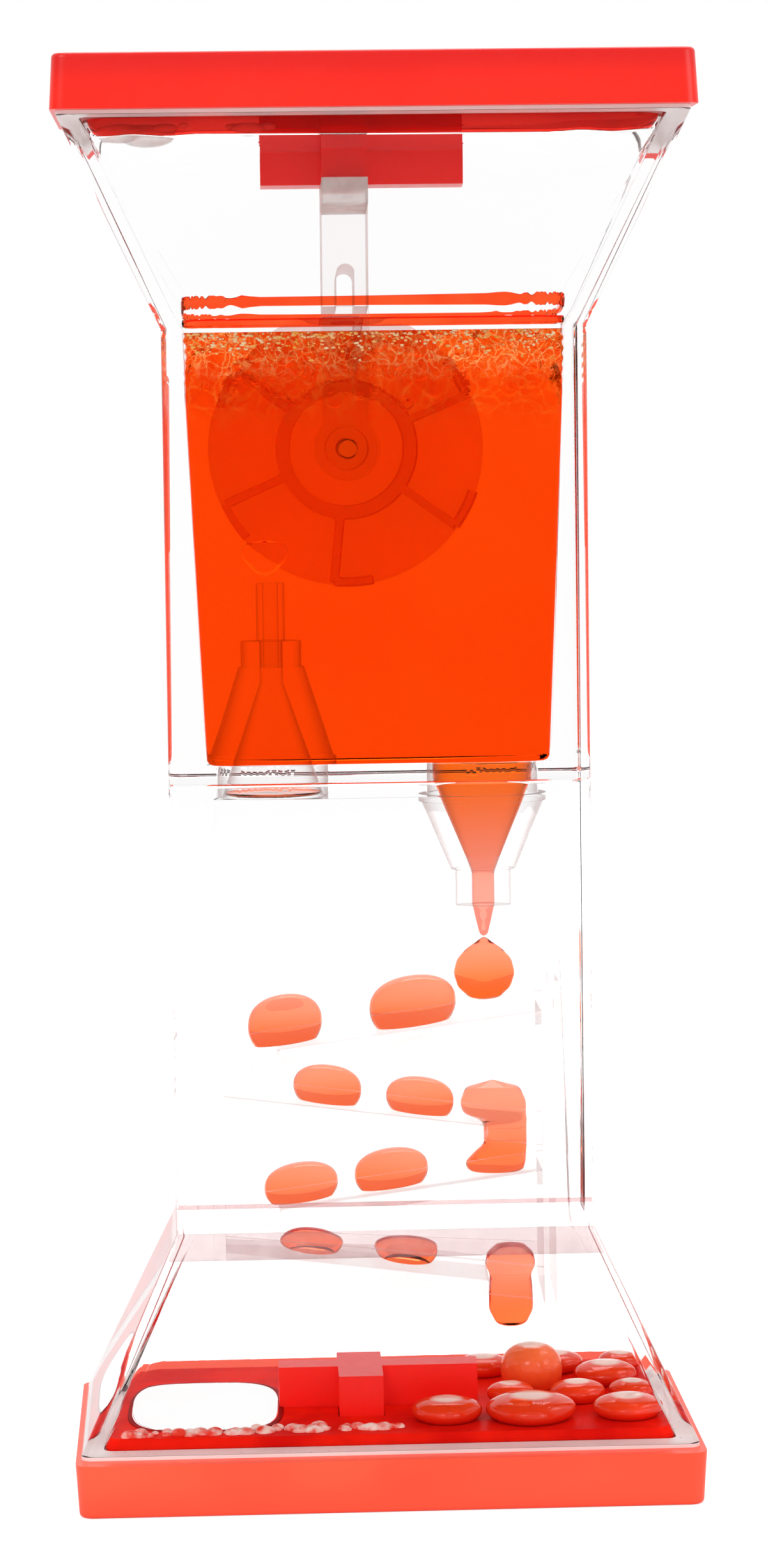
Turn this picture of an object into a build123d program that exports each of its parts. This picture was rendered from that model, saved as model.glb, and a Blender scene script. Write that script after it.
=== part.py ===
from build123d import *

import math
import os

os.makedirs("parts", exist_ok=True)

# A liquid motion timer, in millimetres, +Z up, with its origin at the middle
# of the underside. Two equal clear cups are joined at their closed ends, and a
# coloured cap shuts each flared mouth. Coloured liquid leaves the upper cup by
# the drain funnel, drips down four ramps and gathers in the lower cup, while
# the clear liquid rises through the return funnel and turns the wheel.
# A level is a height above the outer face of the nearest cap.

# Caps: a drafted slab with a cross-shaped post on its inner face
cap_width = 70.0
cap_depth = 42.0
cap_thickness = 6.0
cap_draft = 0.35
cap_corner = 1.6
cap_edge = 0.5
post_height = 6.2
plate_length = 22.5
plate_thickness = 3.3
plate_x = -0.95
plate_y = -1.35
arm_width = 5.0
arm_length = 11.1
arm_x = -3.0
arm_y = -2.15
post_level = cap_thickness + post_height

# Seals between cap and cup
seal_thickness = 0.4
seat_level = cap_thickness + seal_thickness

# Cups: a flared mouth and a straight neck, with a drafted cavity
shell_margin_x = 0.6
shell_margin_y = 2.5
neck_width = 47.0
neck_depth = 22.0
neck_level = 29.5
flare_wall = 2.5
neck_wall = 2.3
cavity_draft = 1.85
floor_thickness = 1.9
shell_corner = 1.2
cavity_corner = 1.0
joint_chamfer = 0.3
mouth_width = cap_width - 2 * shell_margin_x
mouth_depth = cap_depth - 2 * shell_margin_y

# Liquids keep this distance from whatever holds them, and round off in corners
film = 0.1
liquid_corner = 1.7

# Ports through both cup floors, and the funnels that stand in them
port_rim = 0.55
port_clearance = 0.05
port_margin = 0.35
flange_lip = 0.9
flange_thickness = 0.8
flange_margin = 0.25
cone_step = 0.3
mouth_wall = 0.5
throat_radius = 1.3
throat_depth = 12.9
return_cone_length = 10.1
return_tip_radius = 3.7
return_neck_radius = 3.4
return_neck_length = 2.9
drain_cone_length = 7.8
drain_tip_radius = 3.65
drain_neck_radius = 3.15
drain_neck_length = 4.1
nozzle_radius = 1.6
nozzle_bore = 0.9
nozzle_gap = 1.3
spigot_length = 3.0
spigot_clearance = 0.05

# Paddle wheel with hooked paddles, a clear side disc and its axle
wheel_margin = 0.95
hub_radius = 7.9
hub_wall = 1.5
boss_radius = 2.4
web_thickness = 1.0
wheel_depth = 6.0
paddle_count = 6
first_paddle_angle = -36.0
paddle_thickness = 0.9
hook_length = 4.5
disc_thickness = 0.7
axle_radius = 1.1
axle_clearance = 0.08
axle_end = 0.3
pin_clearance = 0.02
boss_gap = 0.3
disc_gap = 0.4

# Hanger: a crown block under the upper post, with two legs and round eyes
hanger_width = 5.1
crown_height = 14.2
crown_gap = 1.1
leg_thickness = 1.2
eye_radius = 3.6
slot_width = 2.0
slot_height = 4.7

# Ramp insert: two side rails with lugs at the top, and four sloping gutters
ramp_count = 4
ramp_drop = 28.6
ramp_fall = 4.7
ramp_gap = 0.6
last_ramp_level = 24.1
ramp_floor = 1.4
ramp_side_gap = 0.45
lip_thickness = 0.9
lip_height = 2.4
ramp_outlet = 6.1
outlet_round = 0.5
rail_thickness = 1.4
rail_margin = 0.05
rail_foot = 4.3
left_rail_rise = 2.1
right_rail_rise = 5.6
lug_height = 3.0
lug_depth = 10.0
lug_clearance = 0.1

# Liquid in the upper cup, and the play round the turning wheel
fill_height = 50.4
sweep_gap = 0.5
sweep_side_gap = 0.2

# Stream under the drain funnel, with the drop that leaves it
stream_taper = 2.7
stream_neck_radius = 0.35
falling_drop_radius = 3.1
falling_drop_fall = 7.0

# Drops on the ramps: ramp, place along it as a share of the distance to the
# outlet, radius as a share of the room across, and height as a share of the
# pitch of the ramps
drop_room_share = 0.5
ramp_drop_shares = [
    (0, 0.32, 0.81, 0.60),
    (0, -0.90, 0.66, 0.60),
    (1, -0.53, 0.64, 0.46),
    (1, 0.36, 0.64, 0.44),
    (2, 0.09, 0.70, 0.47),
    (2, -0.78, 0.70, 0.46),
    (3, -0.70, 0.60, 0.38),
    (3, 0.21, 0.60, 0.38),
]

# Two streams that spill over a ramp's low end
spill_radius = 2.1
spill_margin = 0.2
spill_head_radius = 3.6
spill_head_height = 4.7
spill_foot_radius = 3.7
spill_foot_height = 3.6
pendant_radius = 2.6
pendant_length = 3.8
pendant_head_radius = 3.0
pendant_head_height = 3.2

# Pool on the lower cap, and the drops that wait on it: place as shares of the
# way from the post to the pool's side and of the pool's half depth, radius as
# a share of the room, and height as a share of that radius
pool_height = 1.6
pool_room_share = 0.75
base_drop_shares = [
    (-0.18, -0.62, 0.25, 0.60),
    (0.27, -0.64, 0.32, 0.52),
    (0.79, -0.62, 0.25, 0.58),
    (0.18, -0.13, 0.17, 0.75),
    (0.54, -0.16, 0.20, 0.68),
    (0.84, -0.10, 0.17, 0.70),
    (0.31, 0.26, 0.20, 1.60),
    (0.72, 0.35, 0.23, 0.62),
    (0.06, 0.66, 0.20, 0.65),
    (0.46, 0.72, 0.20, 0.65),
    (0.82, 0.76, 0.16, 0.70),
]

# The cups are as tall as the ramps and the drain funnel above them need
ramp_pitch = ramp_fall + ramp_floor + lip_height + ramp_gap
half_height = last_ramp_level + (ramp_count - 1) * ramp_pitch + ramp_drop
total_height = 2 * half_height
floor_level = half_height - floor_thickness

# Each half is drawn from its own cap's outer face towards the joint
lower = Plane.XY
upper = Plane(origin=(0, 0, total_height), x_dir=(1, 0, 0), z_dir=(0, 0, -1))


def cavity_size(level):
    """Width and depth of a cup's cavity at a level."""
    mouth = (mouth_width - 2 * flare_wall, mouth_depth - 2 * flare_wall)
    neck = (neck_width - 2 * neck_wall, neck_depth - 2 * neck_wall)
    if level < neck_level:
        share = (level - seat_level) / (neck_level - seat_level)
        return tuple(m + share * (n - m) for m, n in zip(mouth, neck))
    share = (level - neck_level) / (floor_level - neck_level)
    return tuple(n - 2 * cavity_draft * share for n in neck)


floor_width, floor_depth = cavity_size(floor_level)

# Ports and funnels, as large as the cup's floor allows
collar_radius = floor_depth / 2 - port_rim
flange_radius = collar_radius + flange_lip
port_x = floor_width / 2 - flange_radius - port_margin
bore_mouth = collar_radius - mouth_wall
flange_top = floor_thickness + flange_thickness
throat_level = throat_depth - floor_thickness

# Wheel, axle and hanger, hung from the upper post
wheel_x = arm_x
tip_radius = floor_width / 2 - abs(wheel_x) - wheel_margin
crown_bottom = total_height - post_level - crown_height
wheel_z = crown_bottom - crown_gap - tip_radius
half_wheel = wheel_depth / 2
leg_inner = half_wheel + disc_thickness + disc_gap
leg_outer = leg_inner + leg_thickness
boss_half = leg_inner - boss_gap
axle_half = leg_outer + axle_end
wheel_front = Plane(origin=(wheel_x, 0, wheel_z), x_dir=(1, 0, 0), z_dir=(0, -1, 0))

# Return nozzle, as high as the wheel's sweep leaves room
nozzle_reach = wheel_x - (nozzle_radius - port_x)
sweep_bottom = wheel_z - math.sqrt(tip_radius**2 - nozzle_reach**2)
nozzle_top = sweep_bottom - nozzle_gap - half_height
return_neck_top = flange_top + return_cone_length + return_neck_length
drain_neck_top = flange_top + drain_cone_length + drain_neck_length

# Ramp insert, which slides in past the narrow end of the cavity
rail_outer = floor_width / 2 - rail_margin
rail_inner = rail_outer - rail_thickness
outlet_x = rail_inner - ramp_outlet
ramp_top = half_height - ramp_drop
ramp_slope = ramp_fall / (2 * rail_inner)
ramp_angle = math.degrees(math.atan(ramp_slope))
ramp_depth = cavity_size(ramp_top + right_rail_rise)[1] - 2 * ramp_side_gap
gutter_half = ramp_depth / 2 - lip_thickness
drop_room = min(gutter_half, drop_room_share * outlet_x)
spill_x = outlet_x + spill_margin + spill_radius
pendant_x = outlet_x + spill_margin + pendant_radius


def ramp_side(ramp):
    """Which end of a ramp is low: -1 the left one, 1 the right one."""
    return -1 if ramp % 2 == 0 else 1


def ramp_level(ramp, x):
    """Height of a ramp's floor at a place along X."""
    return ramp_top - ramp * ramp_pitch - ramp_side(ramp) * ramp_slope * x


def save(part, name):
    """Name a finished piece and write it."""
    part.label = name
    export_step(part, f"parts/{name}.step")


def add_rounded_block(width, depth, corner, plane, amount):
    """Add a slab with rounded plan corners."""
    with BuildSketch(plane) as outline:
        RectangleRounded(width, depth, corner)
    extrude(outline.sketch, amount=amount)


def add_dome(base, radius, height):
    """Add a drop that lies on the base plane: the part of a ball that stands above it."""
    ball_radius = (radius**2 + height**2) / (2 * height)
    ball_middle = height - ball_radius
    edge_angle = math.degrees(math.atan2(-ball_middle, radius))
    with BuildSketch(base) as profile:
        with BuildLine():
            outline = CenterArc((0, ball_middle), ball_radius, edge_angle, 90 - edge_angle)
            Line(outline @ 1, (0, 0))
            Line((0, 0), outline @ 0)
        make_face()
    revolve(profile.sketch, axis=Axis(base.origin, base.y_dir))


def ramp_plane(ramp, x):
    """Upright plane along a ramp: its x runs down the gutter, its y stands off the floor."""
    tilt = math.radians(-ramp_side(ramp) * ramp_angle)
    origin = (x, 0, ramp_level(ramp, x) + film)
    return Plane(origin=origin, x_dir=(math.cos(tilt), 0, math.sin(tilt)), z_dir=(0, -1, 0))


def upright_plane(x, y, z):
    """Upright plane facing the front, for a profile turned about a vertical line."""
    return Plane(origin=(x, y, z), x_dir=(1, 0, 0), z_dir=(0, -1, 0))


def make_cap(half):
    """A cap: its slab drafts in towards the outer face, its post is a plate and an arm."""
    with BuildPart() as cap:
        with BuildSketch(half):
            RectangleRounded(cap_width - 2 * cap_draft, cap_depth - 2 * cap_draft, cap_corner)
        with BuildSketch(half.offset(cap_thickness)):
            RectangleRounded(cap_width, cap_depth, cap_corner)
        loft(ruled=True)
        outward = Axis(half.origin, half.z_dir)
        fillet(cap.faces().sort_by(outward)[0].edges(), cap_edge)
        with BuildSketch(half.offset(cap_thickness)):
            with Locations((plate_x, plate_y)):
                Rectangle(plate_length, plate_thickness)
            with Locations((arm_x, arm_y)):
                Rectangle(arm_width, arm_length)
        extrude(amount=post_height)
    return cap.part


def make_seal(half):
    """The thin ring between a cap and its cup."""
    inner_width, inner_depth = cavity_size(seat_level)
    with BuildPart() as seal:
        with BuildSketch(half.offset(cap_thickness)):
            RectangleRounded(mouth_width, mouth_depth, shell_corner)
            RectangleRounded(inner_width, inner_depth, cavity_corner, mode=Mode.SUBTRACT)
        extrude(amount=seal_thickness)
    return seal.part


def make_shell(half):
    """A clear cup: flared mouth, straight neck, drafted cavity and two ports in its floor."""
    with BuildPart() as shell:
        with BuildSketch(half.offset(seat_level)):
            RectangleRounded(mouth_width, mouth_depth, shell_corner)
        with BuildSketch(half.offset(neck_level)):
            RectangleRounded(neck_width, neck_depth, shell_corner)
        loft(ruled=True)
        add_rounded_block(
            neck_width, neck_depth, shell_corner, half.offset(neck_level), half_height - neck_level
        )
        inward = Axis(half.origin, half.z_dir)
        chamfer(shell.faces().sort_by(inward)[-1].edges(), joint_chamfer)
        for start, end in ((seat_level, neck_level), (neck_level, floor_level)):
            with BuildSketch(half.offset(start)):
                RectangleRounded(*cavity_size(start), cavity_corner)
            with BuildSketch(half.offset(end)):
                RectangleRounded(*cavity_size(end), cavity_corner)
            loft(ruled=True, mode=Mode.SUBTRACT)
        with BuildSketch(half.offset(floor_level)):
            with Locations((-port_x, 0), (port_x, 0)):
                Circle(collar_radius + port_clearance)
        extrude(amount=floor_thickness, mode=Mode.SUBTRACT)
    return shell.part


def make_funnel(axis_plane, cone_length, tip, neck, neck_length):
    """A funnel whose collar passes both floors; its plane's y runs from the joint to its tip."""
    cone_end = flange_top + cone_length
    neck_end = cone_end + neck_length
    with BuildPart() as funnel:
        with BuildSketch(axis_plane):
            with BuildLine():
                Polyline(
                    (bore_mouth, -floor_thickness),
                    (collar_radius, -floor_thickness),
                    (collar_radius, floor_thickness),
                    (flange_radius, floor_thickness),
                    (flange_radius, flange_top),
                    (flange_radius - cone_step, flange_top),
                    (tip, cone_end),
                    (neck, cone_end),
                    (neck, neck_end),
                    (throat_radius, neck_end),
                    (throat_radius, throat_level),
                    close=True,
                )
            make_face()
        revolve(axis=Axis(axis_plane.origin, axis_plane.y_dir))
        with BuildSketch(axis_plane):
            with Locations((0, neck_end / 2)):
                Rectangle(2 * (flange_radius + film), neck_end + 2 * floor_thickness)
        extrude(amount=floor_depth / 2 - flange_margin, both=True, mode=Mode.INTERSECT)
    return funnel.part


def make_ramp(ramp):
    """A sloping gutter between the rails, whose floor stops short at its low end."""
    side = ramp_side(ramp)
    start = -rail_inner if side > 0 else -outlet_x
    tilt = math.radians(-side * ramp_angle)
    run = (math.cos(tilt), 0, math.sin(tilt))
    lip_y = gutter_half + lip_thickness / 2
    lip_z = ramp_level(ramp, -rail_inner) + (lip_height - ramp_floor) / 2
    floor_z = ramp_level(ramp, start) - ramp_floor / 2
    with BuildPart() as gutter:
        with BuildSketch(Plane.YZ.offset(-rail_inner)):
            with Locations((-lip_y, lip_z), (lip_y, lip_z)):
                Rectangle(lip_thickness, lip_height + ramp_floor)
        extrude(amount=2 * rail_inner / math.cos(tilt), dir=run)
        with BuildSketch(Plane.YZ.offset(start)):
            with Locations((0, floor_z)):
                Rectangle(ramp_depth, ramp_floor)
        extrude(amount=(rail_inner + outlet_x) / math.cos(tilt), dir=run)
        cross_edges = gutter.edges().filter_by(Axis.Y).filter_by(lambda e: e.length > gutter_half)
        outlet = Axis((0, 0, 0), (side, 0, 0))
        fillet(cross_edges.sort_by(outlet)[-2:], outlet_round)
    return gutter.part


def make_rail(side, rise):
    """A side rail of the ramp insert, whose top lug bears on the cup's wall."""
    top = ramp_top + rise
    bottom = ramp_level(ramp_count - 1, 0) - rail_foot
    lug_bottom = top - lug_height
    with BuildPart() as rail:
        with BuildSketch(Plane.XZ):
            with Locations((side * (rail_inner + rail_thickness / 2), (top + bottom) / 2)):
                Rectangle(rail_thickness, top - bottom)
        extrude(amount=ramp_depth / 2, both=True)
        with BuildSketch(Plane.XZ):
            with BuildLine():
                Polyline(
                    (side * rail_inner, lug_bottom),
                    (side * (cavity_size(lug_bottom)[0] / 2 - lug_clearance), lug_bottom),
                    (side * (cavity_size(top)[0] / 2 - lug_clearance), top),
                    (side * rail_inner, top),
                    close=True,
                )
            make_face()
        extrude(amount=lug_depth / 2, both=True)
    return rail.part


# Caps, seals and cups
save(make_cap(lower), "bottom_cap")
save(make_cap(upper), "top_cap")
save(make_seal(lower), "bottom_seal")
save(make_seal(upper), "top_seal")
save(make_shell(lower), "lower_shell")
save(make_shell(upper), "upper_shell")

# Funnels: the return funnel points up on the left, the drain funnel down on the right
return_axis = upright_plane(-port_x, 0, half_height)
drain_axis = Plane(origin=(port_x, 0, half_height), x_dir=(1, 0, 0), z_dir=(0, 1, 0))
return_sizes = (return_cone_length, return_tip_radius, return_neck_radius, return_neck_length)
drain_sizes = (drain_cone_length, drain_tip_radius, drain_neck_radius, drain_neck_length)
save(make_funnel(return_axis, *return_sizes), "return_funnel")
save(make_funnel(drain_axis, *drain_sizes), "drain_funnel")

# Nozzle tube, plugged into the tip of the return funnel
with BuildPart() as return_nozzle:
    with BuildSketch(return_axis):
        with BuildLine():
            Polyline(
                (nozzle_bore, return_neck_top - spigot_length),
                (throat_radius - spigot_clearance, return_neck_top - spigot_length),
                (throat_radius - spigot_clearance, return_neck_top),
                (nozzle_radius, return_neck_top),
                (nozzle_radius, nozzle_top),
                (nozzle_bore, nozzle_top),
                close=True,
            )
        make_face()
    revolve(axis=Axis(return_axis.origin, return_axis.y_dir))
save(return_nozzle.part, "return_nozzle")

# Hanger: the crown is slotted from below, and a gap between the legs takes the wheel
with BuildPart() as wheel_hanger:
    with BuildSketch(Plane.XZ):
        with Locations((wheel_x, crown_bottom + crown_height / 2)):
            Rectangle(hanger_width, crown_height)
        with Locations((wheel_x, (wheel_z + crown_bottom) / 2)):
            Rectangle(hanger_width, crown_bottom - wheel_z)
        with Locations((wheel_x, wheel_z)):
            Circle(eye_radius)
            Circle(axle_radius + pin_clearance, mode=Mode.SUBTRACT)
        with Locations((wheel_x, crown_bottom + (slot_height - slot_width / 2) / 2)):
            Rectangle(slot_width, slot_height - slot_width / 2, mode=Mode.SUBTRACT)
        with Locations((wheel_x, crown_bottom + slot_height - slot_width / 2)):
            Circle(slot_width / 2, mode=Mode.SUBTRACT)
    extrude(amount=leg_outer, both=True)
    with BuildSketch(Plane.XZ):
        with Locations((wheel_x, crown_bottom)):
            Rectangle(2 * eye_radius, 2 * tip_radius, align=(Align.CENTER, Align.MAX))
    extrude(amount=leg_inner, both=True, mode=Mode.SUBTRACT)
save(wheel_hanger.part, "wheel_hanger")

# Axle pin through both eyes
with BuildPart() as wheel_axle:
    with BuildSketch(wheel_front):
        Circle(axle_radius)
    extrude(amount=axle_half, both=True)
    chamfer(wheel_axle.edges().filter_by(GeomType.CIRCLE), axle_end / 2)
save(wheel_axle.part, "wheel_axle")

# One paddle: a radial blade with a hook along the tip circle
hook_angle = math.degrees(hook_length / tip_radius)
blade_start = hub_radius - hub_wall / 2
blade_end = tip_radius - paddle_thickness / 2
with BuildSketch() as paddle:
    with Locations(((blade_start + blade_end) / 2, 0)):
        Rectangle(blade_end - blade_start, paddle_thickness)
    with BuildLine():
        hook_outer = CenterArc((0, 0), tip_radius, 0, hook_angle)
        hook_inner = CenterArc((0, 0), tip_radius - paddle_thickness, 0, hook_angle)
        Line(hook_outer @ 0, hook_inner @ 0)
        Line(hook_outer @ 1, hook_inner @ 1)
    make_face()

# Paddle wheel: hub ring, web and boss, with the paddles in a polar pattern
with BuildPart() as paddle_wheel:
    with BuildSketch(wheel_front):
        with PolarLocations(0, paddle_count, start_angle=first_paddle_angle):
            add(paddle.sketch)
        Circle(hub_radius)
        Circle(hub_radius - hub_wall, mode=Mode.SUBTRACT)
    extrude(amount=half_wheel, both=True)
    with BuildSketch(wheel_front):
        Circle(hub_radius - hub_wall / 2)
    extrude(amount=web_thickness / 2, both=True)
    with BuildSketch(wheel_front):
        Circle(boss_radius)
    extrude(amount=boss_half, both=True)
    with BuildSketch(wheel_front):
        Circle(axle_radius + axle_clearance)
    extrude(amount=leg_inner, both=True, mode=Mode.SUBTRACT)
save(paddle_wheel.part, "paddle_wheel")

# Clear disc on the rear edges of the paddles
with BuildPart() as wheel_disc:
    with BuildSketch(wheel_front.offset(-half_wheel - disc_thickness)):
        Circle(tip_radius)
        Circle(hub_radius - hub_wall, mode=Mode.SUBTRACT)
    extrude(amount=disc_thickness)
save(wheel_disc.part, "wheel_disc")

# Ramp insert: rails on either side, gutters that fall left and right by turns
save(make_rail(-1, left_rail_rise), "rail_left")
save(make_rail(1, right_rail_rise), "rail_right")
for ramp in range(ramp_count):
    save(make_ramp(ramp), f"ramp_{ramp + 1}")

# Coloured liquid in the upper cup, with room for the wheel, hanger and return funnel
fill_level = floor_level - fill_height
fill_levels = [floor_level - film, neck_level, fill_level]
if fill_level >= neck_level:
    fill_levels = [floor_level - film, fill_level]
with BuildPart() as orange_fill:
    for start, end in zip(fill_levels, fill_levels[1:]):
        for level in (start, end):
            width, depth = cavity_size(level)
            with BuildSketch(upper.offset(level)):
                RectangleRounded(width - 2 * film, depth - 2 * film, liquid_corner)
        loft(ruled=True)
    with BuildSketch(wheel_front):
        Circle(tip_radius + sweep_gap)
    extrude(amount=boss_half + sweep_side_gap, both=True, mode=Mode.SUBTRACT)
    with BuildSketch(wheel_front):
        Circle(eye_radius + film)
        Rectangle(hanger_width + 2 * film, total_height, align=(Align.CENTER, Align.MIN))
    extrude(amount=axle_half + film, both=True, mode=Mode.SUBTRACT)
    with BuildSketch(return_axis):
        with BuildLine():
            Polyline(
                (0, 0),
                (flange_radius + film, 0),
                (flange_radius + film, flange_top + film),
                (flange_radius - cone_step + film, flange_top + film),
                (return_tip_radius + film, flange_top + return_cone_length + film),
                (return_neck_radius + film, flange_top + return_cone_length + film),
                (return_neck_radius + film, return_neck_top + film),
                (nozzle_radius + film, return_neck_top + film),
                (nozzle_radius + film, nozzle_top + film),
                (0, nozzle_top + film),
                close=True,
            )
        make_face()
    revolve(axis=Axis(return_axis.origin, return_axis.y_dir), mode=Mode.SUBTRACT)
save(orange_fill.part, "orange_fill")

# Liquid in the drain funnel, drawn out to a thread with a drop at its end
thread_end = drain_neck_top + stream_taper
drop_middle = drain_neck_top + falling_drop_fall
with BuildPart() as drain_stream:
    with BuildSketch(drain_axis):
        with BuildLine():
            Polyline(
                (0, -floor_thickness),
                (bore_mouth - film, -floor_thickness),
                (throat_radius - film, throat_level),
                (throat_radius - film, drain_neck_top),
                (stream_neck_radius, thread_end),
                (stream_neck_radius, drop_middle),
                (0, drop_middle),
                close=True,
            )
        make_face()
    revolve(axis=Axis(drain_axis.origin, drain_axis.y_dir))
    with BuildSketch(drain_axis):
        with BuildLine():
            ball = CenterArc((0, drop_middle), falling_drop_radius, -90, 180)
            Line(ball @ 1, ball @ 0)
        make_face()
    revolve(axis=Axis(drain_axis.origin, drain_axis.y_dir))
save(drain_stream.part, "drain_stream")

# Drops that roll down the ramps
for number, (ramp, place, radius, height) in enumerate(ramp_drop_shares, start=1):
    with BuildPart() as ramp_bead:
        add_dome(ramp_plane(ramp, place * outlet_x), radius * drop_room, height * ramp_pitch)
    save(ramp_bead.part, f"ramp_drop_{number}")

# Stream that spills from the second ramp to the third
with BuildPart() as spill_stream:
    add_dome(ramp_plane(1, spill_x - spill_radius / 2), spill_head_radius, spill_head_height)
    add_dome(ramp_plane(2, spill_x - spill_radius / 2), spill_foot_radius, spill_foot_height)
    with BuildSketch(Plane.XY.offset(ramp_level(2, spill_x) + spill_foot_height / 2)):
        with Locations((spill_x, 0)):
            Circle(spill_radius)
    extrude(amount=ramp_level(1, spill_x) - ramp_level(2, spill_x))
save(spill_stream.part, "spill_stream")

# Drop that hangs from the low end of the last ramp
pendant_top = ramp_level(3, pendant_x)
pendant_foot = Plane(
    origin=(pendant_x, 0, pendant_top - pendant_length), x_dir=(1, 0, 0), z_dir=(0, 1, 0)
)
with BuildPart() as hanging_drop:
    add_dome(ramp_plane(3, pendant_x - pendant_radius / 2), pendant_head_radius, pendant_head_height)
    with BuildSketch(Plane.XY.offset(pendant_top - pendant_length)):
        with Locations((pendant_x, 0)):
            Circle(pendant_radius)
    extrude(amount=pendant_length + pendant_head_height / 2)
    add_dome(pendant_foot, pendant_radius, pendant_radius)
save(hanging_drop.part, "hanging_drop")

# Pool on the lower cap, round its post
pool_top = cap_thickness + pool_height
with BuildPart() as orange_pool:
    for level in (seat_level + film, pool_top):
        width, depth = cavity_size(level)
        with BuildSketch(Plane.XY.offset(level)):
            RectangleRounded(width - 2 * film, depth - 2 * film, liquid_corner)
    loft(ruled=True)
    seal_width, seal_depth = cavity_size(seat_level)
    add_rounded_block(
        seal_width - 4 * film,
        seal_depth - 4 * film,
        liquid_corner,
        Plane.XY.offset(cap_thickness),
        pool_height / 2,
    )
    with BuildSketch(Plane.XY.offset(cap_thickness)):
        with Locations((plate_x, plate_y)):
            Rectangle(plate_length + 2 * film, plate_thickness + 2 * film)
        with Locations((arm_x, arm_y)):
            Rectangle(arm_width + 2 * film, arm_length + 2 * film)
    extrude(amount=post_height, mode=Mode.SUBTRACT)
save(orange_pool.part, "orange_pool")

# Drops that wait on the pool
pool_width, pool_depth = cavity_size(pool_top)
post_side = plate_x + plate_length / 2
pool_span = pool_width / 2 - post_side
pool_room = min(pool_depth / 2, pool_room_share * pool_span)
for number, (across, back, radius, height) in enumerate(base_drop_shares, start=1):
    drop_radius = radius * pool_room
    foot = upright_plane(post_side + across * pool_span, back * pool_depth / 2, pool_top + film)
    with BuildPart() as base_bead:
        add_dome(foot, drop_radius, height * drop_radius)
    save(base_bead.part, f"base_drop_{number}")
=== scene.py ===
"""A liquid motion timer: two clear flared cups, coloured caps, a paddle wheel and zigzag ramps.

Lengths are in mm, places and sizes of the lamps and floor in metres, and colours linear.
"""
import logging
import math
from dataclasses import dataclass
from enum import Enum

import bmesh
import bpy
import numpy as np
from mathutils import Matrix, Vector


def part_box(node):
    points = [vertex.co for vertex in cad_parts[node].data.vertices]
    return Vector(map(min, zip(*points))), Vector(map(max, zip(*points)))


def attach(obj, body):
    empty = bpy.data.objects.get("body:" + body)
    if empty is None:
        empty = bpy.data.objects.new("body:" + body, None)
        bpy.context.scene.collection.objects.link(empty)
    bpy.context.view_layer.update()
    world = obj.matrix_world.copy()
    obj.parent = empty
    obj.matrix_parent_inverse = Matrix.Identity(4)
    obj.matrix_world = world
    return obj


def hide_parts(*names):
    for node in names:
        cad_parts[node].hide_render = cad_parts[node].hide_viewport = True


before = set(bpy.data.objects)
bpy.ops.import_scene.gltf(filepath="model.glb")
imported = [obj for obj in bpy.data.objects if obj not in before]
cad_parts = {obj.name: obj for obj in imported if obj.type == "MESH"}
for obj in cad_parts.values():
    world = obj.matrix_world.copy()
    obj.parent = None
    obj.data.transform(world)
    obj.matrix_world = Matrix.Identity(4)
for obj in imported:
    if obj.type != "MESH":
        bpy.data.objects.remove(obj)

log = logging.getLogger("timer")

Colour = tuple[float, float, float]
Pair = tuple[float, float]
Outline = tuple[tuple[float, ...], ...]
Mesh = bpy.types.Mesh
Node = bpy.types.Node
Socket = bpy.types.NodeSocket

MM = 0.001
WHITE: Colour = (1.0, 1.0, 1.0)
CASING = "casing"  # The body that every new piece rides on


class Slot(Enum):
    """Material slots of the record."""

    CLEAR = "clear_plastic"
    ORANGE = "liquid_orange"


# Shader building


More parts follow.
